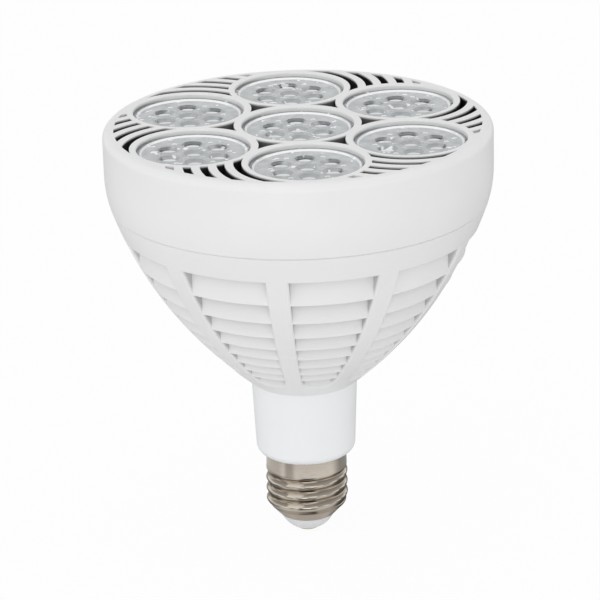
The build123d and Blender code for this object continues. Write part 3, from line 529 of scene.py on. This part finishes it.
# %% [markdown]
# ## Finishes inside the lamp
# Behind the vents sit a dark heat sink, a fan, boards and wires. They are seen only in glimpses, so one
# recipe serves them all: two tones in clouds, a gloss that varies and a fine grain. What sets them apart
# is written in tables, one row for each: the two tones, the size of the clouds in millimetres, how metallic
# and how rough the surface is, the depth of its grain in millimetres, and which way the pattern runs.

# %% One recipe for the inner pieces
EVEN = (1.0, 1.0, 1.0)
STRIPED = (1.0, 1.0, 12.0)
INNER_DETAIL = 3.0
FINE_SHARE = 1 / 8
FINE_ROUGHNESS = 0.15


def inner_finishes(rows):
    """Makes a finish for each row of a table, under the name of its slot."""
    for name, (color, second, size, metallic, gloss, depth, stretch) in rows.items():
        made = Finish(name)
        clouds = made.noise(size * MM, INNER_DETAIL, stretch)
        fine = made.noise(size * FINE_SHARE * MM, INNER_DETAIL, stretch)
        made.set(base_color=clouds.smooth(*CLOUD_EDGE).tint(color, second), metallic=metallic)
        made.set(roughness=gloss + FINE_ROUGHNESS * fine)
        made.grain(fine, depth * MM)
        finishes[name] = made.material
    print("finishes", sorted(rows))


print("stripes are", STRIPED[2], "times as fine along the axis")

# %% Metals: cast sink, screws, bearing, shaft, laminations and wound copper
inner_finishes({
    "sink_alloy": ((0.05, 0.05, 0.055), (0.08, 0.08, 0.085), 6, 0.6, 0.42, 0.02, EVEN),
    "screw_steel": ((0.58, 0.58, 0.60), (0.66, 0.65, 0.62), 1, 1.0, 0.25, 0.01, EVEN),
    "bearing_bronze": ((0.45, 0.30, 0.14), (0.55, 0.38, 0.18), 0.5, 1.0, 0.40, 0.01, EVEN),
    "shaft_steel": ((0.62, 0.62, 0.63), (0.70, 0.70, 0.71), 1, 1.0, 0.15, 0.004, STRIPED),
    "stator_steel": ((0.32, 0.32, 0.34), (0.42, 0.42, 0.44), 0.6, 0.9, 0.35, 0.02, STRIPED),
    "copper": ((0.65, 0.30, 0.13), (0.78, 0.42, 0.22), 0.4, 0.9, 0.28, 0.05, STRIPED),
})

# %% Boards and what they carry
inner_finishes({
    "board_white": ((0.80, 0.81, 0.80), (0.76, 0.78, 0.77), 5, 0.0, 0.35, 0.01, EVEN),
    "phosphor": ((0.90, 0.72, 0.22), (0.95, 0.82, 0.36), 1.5, 0.0, 0.45, 0.01, EVEN),
    "laminate": ((0.05, 0.22, 0.10), (0.07, 0.28, 0.13), 3, 0.0, 0.30, 0.01, EVEN),
    "capacitor_sleeve": ((0.03, 0.035, 0.06), (0.045, 0.05, 0.08), 4, 0.0, 0.25, 0.004, EVEN),
    "core_ferrite": ((0.08, 0.08, 0.085), (0.11, 0.11, 0.115), 1, 0.1, 0.60, 0.02, EVEN),
    "winding_tape": ((0.80, 0.62, 0.10), (0.88, 0.72, 0.18), 3, 0.0, 0.25, 0.02, STRIPED),
    "package_black": ((0.03, 0.03, 0.03), (0.045, 0.045, 0.045), 1, 0.0, 0.50, 0.01, EVEN),
    "fuse_enamel": ((0.22, 0.45, 0.52), (0.30, 0.52, 0.58), 1, 0.0, 0.25, 0.01, EVEN),
})

# %% Fan plastic, magnet, pad and wires
inner_finishes({
    "fan_black": ((0.018, 0.018, 0.02), (0.03, 0.03, 0.032), 8, 0.0, 0.40, 0.01, EVEN),
    "ferrite": ((0.05, 0.05, 0.055), (0.07, 0.07, 0.075), 1, 0.0, 0.60, 0.02, EVEN),
    "pad_grey": ((0.50, 0.51, 0.55), (0.58, 0.58, 0.62), 2, 0.0, 0.75, 0.02, EVEN),
    "wire_black": ((0.02, 0.02, 0.02), (0.035, 0.035, 0.035), 3, 0.0, 0.45, 0.01, EVEN),
    "wire_white": ((0.80, 0.80, 0.78), (0.85, 0.85, 0.83), 3, 0.0, 0.45, 0.01, EVEN),
    "wire_red": ((0.55, 0.04, 0.03), (0.62, 0.06, 0.05), 3, 0.0, 0.45, 0.01, EVEN),
})

# %% [markdown]
# ## Clear plastic
# Each optic is one clear moulding: a round plate with a raised border, a sunk field with seven wells, a
# tapered cup under every well that leads down to its chip, and three legs. Plain glass would show only what
# lies below it. The real optics look milky, because their faces are lightly frosted and their edges catch
# the lamps. So a milky plastic covers the clear one in part: most on the flat field, and hardly at all on
# the outer walls of the wells. That cover also carries painted highlights in white: bright lines on the
# rounded edges, the step round the field, a few sparkles and the floors of the wells.

# %% Sizes of an optic, read from its solid
PLATE_THICK = 2.0 * MM
FIELD_BORDER = 1.9 * MM
FIELD_DEPTH = 0.5 * MM
STEP_RUN = 0.6 * MM
WELL_DEPTH = 1.4 * MM
low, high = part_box("lens_7")
LENS_R = (high.x - low.x) / 2
PLATE_TOP = high.z
PLATE_LOW = PLATE_TOP - PLATE_THICK
FIELD_R = LENS_R - FIELD_BORDER
FIELD_Z = PLATE_TOP - FIELD_DEPTH
WELL_Z = FIELD_Z - WELL_DEPTH
BOARD_Z = low.z
print("optic radius", round(LENS_R / MM, 2), "mm, top at", round(PLATE_TOP / MM, 2), "mm")

# %% Where highlights are painted on the plastic
ROUNDED_START = (0.62, 0.72)
ROUNDED_END = (0.86, 0.96)
OUTER_WALL = (9.2 * MM, 10.6 * MM)
BORDER_BLUR = 0.1 * MM
FLOOR_RISE = (0.1 * MM, 0.4 * MM)
STEP_FRONT = (0.30, 0.64)
SPARKLE_SIZE = 3.0 * MM
SPARKLE_EDGE = (0.66, 0.73)
SPARKLE_DETAIL = 1.0
# How bright each painted highlight is
EDGE_BRIGHT = 0.25
OUTER_EDGE_BRIGHT = 0.45
STEP_BRIGHT = 0.096
STEP_FRONT_BRIGHT = 0.60
SPARKLE_BRIGHT = 0.7
WELL_FLOOR_BRIGHT = 0.36


def painted_highlights(clear, upward, outer, border, nearest):
    """Painted highlights: rounded edges, the step round the field, brightest where it faces the front, a few
    sparkles and the floors of the wells.
    """
    edge = upward.smooth(*ROUNDED_START) * (1.0 - upward.smooth(*ROUNDED_END))
    step = nearest.smooth(FIELD_R - STEP_RUN - BORDER_BLUR, FIELD_R - STEP_RUN) * (1.0 - border)
    frontward = -1.0 * clear.facing(1)
    step = step * (STEP_BRIGHT + STEP_FRONT_BRIGHT * frontward.smooth(*STEP_FRONT))
    sparkle = clear.noise(SPARKLE_SIZE, SPARKLE_DETAIL).smooth(*SPARKLE_EDGE)
    well_floor = 1.0 - clear.z.smooth(WELL_Z + FLOOR_RISE[0], WELL_Z + FLOOR_RISE[1])
    lines = edge * (EDGE_BRIGHT + OUTER_EDGE_BRIGHT * outer) + step
    return lines + SPARKLE_BRIGHT * sparkle * (1.0 - well_floor) + WELL_FLOOR_BRIGHT * well_floor


print("bright lines run on slopes between", ROUNDED_START[0], "and", ROUNDED_END[1])

# %% Clear plastic with a milky cover
FAINT_SIZE = 9 * MM
FROST_SIZE = 3.5 * MM
FLAT = (0.75, 0.95)
CLEAR_TINTS = ((0.93, 0.955, 0.97), (0.96, 0.975, 0.985))
# Milky tint, and the white of the painted highlights
MILK_AND_HIGHLIGHT_TINTS = ((0.84, 0.87, 0.89), (1.0, 1.0, 1.0))
MILKY_ROUGHNESS = 0.25
ACRYLIC_IOR = 1.49
CLEAR_ROUGHNESS = 0.02
FAINT_ROUGHNESS = 0.04
# How milky the frosted field is, and the walls that stand up from it
FROST = 0.34
FROST_CLOUDS = 0.40
BORDER_CLEARS = 0.6
OUTER_WALL_MILK = 0.02
INNER_WALL_MILK = 0.45


def clear_plastic(name):
    """Clear plastic under a milky cover that varies with place and slope."""
    clear = Finish(name)
    faint = clear.noise(FAINT_SIZE)
    clear.set(base_color=faint.tint(*CLEAR_TINTS), transmission_weight=1.0, ior=ACRYLIC_IOR)
    clear.set(roughness=CLEAR_ROUGHNESS + FAINT_ROUGHNESS * faint)
    _, _, nearest = lens_distances(clear)
    upward = clear.facing(2)
    flat = upward.smooth(*FLAT)
    outer = nearest.smooth(*OUTER_WALL)
    border = nearest.smooth(FIELD_R, FIELD_R + BORDER_BLUR)
    # Painted highlights raise the milky cover and turn its colour white
    bright = painted_highlights(clear, upward, outer, border, nearest)
    frosted = flat * (1.0 - BORDER_CLEARS * border) * (FROST + FROST_CLOUDS * clear.noise(FROST_SIZE))
    walls = (1.0 - flat) * (OUTER_WALL_MILK + INNER_WALL_MILK * (1.0 - outer))
    inputs = {"Base Color": bright.tint(*MILK_AND_HIGHLIGHT_TINTS), "Roughness": MILKY_ROUGHNESS}
    milky = clear.surface.node("ShaderNodeBsdfPrincipled", None, inputs)
    clear.cover(frosted + walls + bright, milky)
    return clear.material


finishes["clear_optic"] = clear_plastic("clear_optic")
print("clear finish", finishes["clear_optic"].name)

# %% [markdown]
# ## The optic's plate
# The plate is a disc with a raised border, as the photograph shows it. It could be spun from an outline,
# but a cylinder with two insets in its top is quicker: the first leaves the border, and the second, pushed
# down, leaves the sloped step to the sunk field.

# %% Plate with its border and field
PLATE_SIDES = 96
LEVEL_SLACK = 0.01 * MM
UPWARD = 0.9


def select_top(height):
    """Selects the faces that lie at a height and look up."""
    bpy.ops.object.mode_set(mode="OBJECT")
    for face in bpy.context.object.data.polygons:
        face.select = abs(face.center.z - height) < LEVEL_SLACK and face.normal.z > UPWARD
    bpy.ops.object.mode_set(mode="EDIT")


def apply_place(piece):
    """Puts the object's place into its mesh."""
    deselect()
    piece.select_set(True)
    bpy.context.view_layer.objects.active = piece
    bpy.ops.object.transform_apply(location=True, rotation=True, scale=True)


deselect()
middle = (0.0, 0.0, (PLATE_TOP + PLATE_LOW) / 2)
bpy.ops.mesh.primitive_cylinder_add(vertices=PLATE_SIDES, radius=LENS_R, depth=PLATE_THICK, location=middle)
plate = bpy.context.object
plate.name = "optic_plate"
apply_place(plate)
bpy.ops.object.mode_set(mode="EDIT")
bpy.ops.mesh.select_mode(type="FACE")
select_top(PLATE_TOP)
bpy.ops.mesh.inset(thickness=FIELD_BORDER)
bpy.ops.mesh.inset(thickness=STEP_RUN)
bpy.ops.transform.translate(value=(0.0, 0.0, -FIELD_DEPTH))
bpy.ops.object.mode_set(mode="OBJECT")
print("plate with", len(plate.data.polygons), "faces")

# %% [markdown]
# ## Cups, legs and gate mark
# Under every well a clear cup gathers the light of one chip. It bulges like a bowl and has a hollow at its
# foot for the chip. A spin gives such a turned form from half its outline. Three legs stand on the board,
# and a small round mark in the border shows where the plastic ran into the mould. All are made once,
# copied to their places and joined to the plate by booleans, so that each optic is one closed mesh.

# %% Copies and booleans
def ring_places(radius, count, start):
    """Plan positions evenly round a ring, from a first bearing."""
    places = []
    for number in range(count):
        bearing = start + 2 * math.pi * number / count
        places.append((radius * math.cos(bearing), radius * math.sin(bearing)))
    return places


def copied(piece, places):
    """Copies a piece to plan positions and joins the copies into one object."""
    copies = []
    for x, y in places:
        twin = piece.copy()
        twin.data = piece.data.copy()
        bpy.context.scene.collection.objects.link(twin)
        twin.location.x += x
        twin.location.y += y
        copies.append(twin)
    deselect()
    for twin in copies:
        twin.select_set(True)
    bpy.context.view_layer.objects.active = copies[0]
    bpy.ops.object.join()
    joined = bpy.context.object
    apply_place(joined)
    bpy.data.objects.remove(piece)
    return joined


def combined(piece, other, operation):
    """Cuts or adds one closed piece with a boolean modifier and applies it."""
    deselect()
    piece.select_set(True)
    bpy.context.view_layer.objects.active = piece
    boolean = piece.modifiers.new(operation.lower(), "BOOLEAN")
    boolean.operation = operation
    boolean.object = other
    boolean.solver = "EXACT"
    bpy.ops.object.modifier_apply(modifier=boolean.name)
    bpy.data.objects.remove(other)


WELL_RING = 8.6 * MM
WELLS_ROUND = 6
well_places = [(0.0, 0.0)] + ring_places(WELL_RING, WELLS_ROUND, TURN)
print(len(well_places), "wells and cups in each optic")

# %% A turned form from half its outline
SEED_SIZE = 1 * MM
MERGE = 0.001 * MM


def spun(name, outline, steps):
    """Draws a half outline by extruding one vertex and spins it round the axis."""
    deselect()
    bpy.ops.mesh.primitive_plane_add(size=SEED_SIZE, location=(0.0, 0.0, 0.0))
    piece = bpy.context.object
    piece.name = name
    bpy.ops.object.mode_set(mode="EDIT")
    bpy.ops.mesh.select_mode(type="VERT")
    bpy.ops.mesh.select_all(action="SELECT")
    bpy.ops.mesh.merge(type="CENTER")
    r, z = outline[0]
    bpy.ops.transform.translate(value=(r, 0.0, z))
    for next_r, next_z in outline[1:]:
        bpy.ops.mesh.extrude_region_move(TRANSFORM_OT_translate={"value": (next_r - r, 0.0, next_z - z)})
        r, z = next_r, next_z
    bpy.ops.mesh.select_all(action="SELECT")
    bpy.ops.mesh.spin(steps=steps, angle=2 * math.pi, center=(0.0, 0.0, 0.0), axis=(0.0, 0.0, 1.0))
    bpy.ops.mesh.select_all(action="SELECT")
    bpy.ops.mesh.remove_doubles(threshold=MERGE)
    bpy.ops.mesh.normals_make_consistent(inside=False)
    bpy.ops.object.mode_set(mode="OBJECT")
    return piece


print("outlines are spun from one vertex")

# %% Cups under the wells
CHIP_ROOM = 1.1 * MM
CUP_R = 4.2 * MM
CUP_FOOT_R = 2.2 * MM
CUP_BULGE = 0.6
CUP_RISES = 8
CUP_SIDES = 32
# Radius and height above the cup's foot, from the top of the chip's hollow to its mouth
CHIP_HOLLOW = ((0.0, 3.0 * MM), (0.9 * MM, 2.7 * MM), (1.5 * MM, 1.9 * MM), (1.75 * MM, 0.0))
OVERLAP = 0.1 * MM
CUP_FOOT = BOARD_Z + CHIP_ROOM
outline = [(r, CUP_FOOT + z) for r, z in CHIP_HOLLOW]
for number in range(CUP_RISES + 1):
    share = number / CUP_RISES
    radius = CUP_FOOT_R + (CUP_R - CUP_FOOT_R) * share ** CUP_BULGE
    outline.append((radius, CUP_FOOT + (PLATE_LOW - CUP_FOOT) * share))
outline += [(CUP_R, PLATE_LOW + OVERLAP), (0.0, PLATE_LOW + OVERLAP)]
cup = spun("optic_cup", outline, CUP_SIDES)
combined(plate, copied(cup, well_places), "UNION")
print("plate and cups have", len(plate.data.polygons), "faces")

# %% Legs down to the board, and the gate mark in the border
BAR_SIDES = 32
LEG_R = 1.1 * MM
LEG_RING = 14.55 * MM
LEG_COUNT = 3
GATE_R = 0.7 * MM
GATE_DEPTH = 0.5 * MM
GATE_INSET = 1.0 * MM


def round_bar(radius, foot_z, top_z):
    """Bar on the axis between two heights, to be added or cut."""
    deselect()
    bpy.ops.mesh.primitive_cylinder_add(vertices=BAR_SIDES, radius=radius, depth=top_z - foot_z)
    bar = bpy.context.object
    bar.location.z = (foot_z + top_z) / 2
    return bar


leg = round_bar(LEG_R, BOARD_Z, PLATE_LOW + OVERLAP)
combined(plate, copied(leg, ring_places(LEG_RING, LEG_COUNT, 0.0)), "UNION")
gate = round_bar(GATE_R, PLATE_TOP - GATE_DEPTH, PLATE_TOP + GATE_DEPTH)
combined(plate, copied(gate, [(LENS_R - GATE_INSET, 0.0)]), "DIFFERENCE")
print("with legs and gate mark", len(plate.data.polygons), "faces")

# %% [markdown]
# ## Wells and pits
# The photograph shows seven wells with soft edges in every optic, and tiny bright pits between them. Wells
# could be inset and pushed down, but the plate's top is one many-sided face. Cone cutters with a bevel
# leave clean rounded wells wherever they stand.

# %% Wells over the cups, and small pits between the wells
CUTTER_SIDES = 48
CUTTER_REACH = 1.5
WELL_R = 3.1 * MM
WELL_FOOT_R = 2.3 * MM
WELL_ROUNDING = 0.5 * MM
ROUNDING_STEPS = 3
PIT_R = 0.8 * MM
PIT_DEPTH = 0.55 * MM
INNER_PIT_RING = WELL_RING / math.sqrt(3)
OUTER_PIT_RING = 10.9 * MM


def cone_cutter(foot_r, top_r, depth):
    """Cone with its foot a depth below the field, that goes on with the same slope above the field."""
    tall = CUTTER_REACH * depth
    reach_r = foot_r + (top_r - foot_r) * CUTTER_REACH
    deselect()
    bpy.ops.mesh.primitive_cone_add(vertices=CUTTER_SIDES, radius1=foot_r, radius2=reach_r, depth=tall)
    cutter = bpy.context.object
    cutter.location.z = FIELD_Z - depth + tall / 2
    return cutter


def round_edges(piece, width):
    """Rounds the sharp edges with a bevel modifier and applies it."""
    deselect()
    piece.select_set(True)
    bpy.context.view_layer.objects.active = piece
    rounding = piece.modifiers.new("rounding", "BEVEL")
    rounding.width = width
    rounding.segments = ROUNDING_STEPS
    rounding.limit_method = "ANGLE"
    bpy.ops.object.modifier_apply(modifier=rounding.name)


well = cone_cutter(WELL_FOOT_R, WELL_R, WELL_DEPTH)
round_edges(well, WELL_ROUNDING)
combined(plate, copied(well, well_places), "DIFFERENCE")
between = TURN + SIXTH / 2
pit_places = ring_places(INNER_PIT_RING, WELLS_ROUND, between)
pit_places += ring_places(OUTER_PIT_RING, WELLS_ROUND, between)
combined(plate, copied(cone_cutter(0.0, PIT_R, PIT_DEPTH), pit_places), "DIFFERENCE")
print("wells and pits cut, optic has", len(plate.data.polygons), "faces")

# %% [markdown]
# ## Seven optics
# All seven optics of the lamp are alike, so one mesh is copied to the middle of each lens solid and stands
# for it. Every copy has a mesh of its own, with its place in it.

# %% Copy the optic to its seven places
SMOOTH_ANGLE = math.radians(32)
OPTIC_COUNT = 7
deselect()
plate.select_set(True)
bpy.context.view_layer.objects.active = plate
bpy.ops.object.shade_smooth_by_angle(angle=SMOOTH_ANGLE)
plate.data.materials.clear()
plate.data.materials.append(finishes["clear_optic"])
for number in range(1, OPTIC_COUNT + 1):
    low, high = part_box(f"lens_{number}")
    optic = plate.copy()
    optic.data = plate.data.copy()
    optic.name = f"optic_{number}"
    bpy.context.scene.collection.objects.link(optic)
    optic.location = ((low.x + high.x) / 2, (low.y + high.y) / 2, 0.0)
    apply_place(optic)
    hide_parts(f"lens_{number}")
    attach(optic, "lamp")
    print(optic.name, "at", round(low.x / MM, 1), "to", round(high.x / MM, 1), "mm across")
bpy.data.objects.remove(plate)

# %% [markdown]
# ## Dressing the solids
# Every solid keeps its shape and place. The record names a material slot for each, so one loop gives each
# solid the finish of its slot, and no solid can be forgotten.

# %% Give every solid its finish
subparts = frame["record"]["subparts"]
for part in subparts:
    solid = nodes[part["node"]]
    solid.data.materials.clear()
    solid.data.materials.append(finishes[part["material_slot"]])
print(len(subparts), "solids dressed with", len(finishes), "finishes")
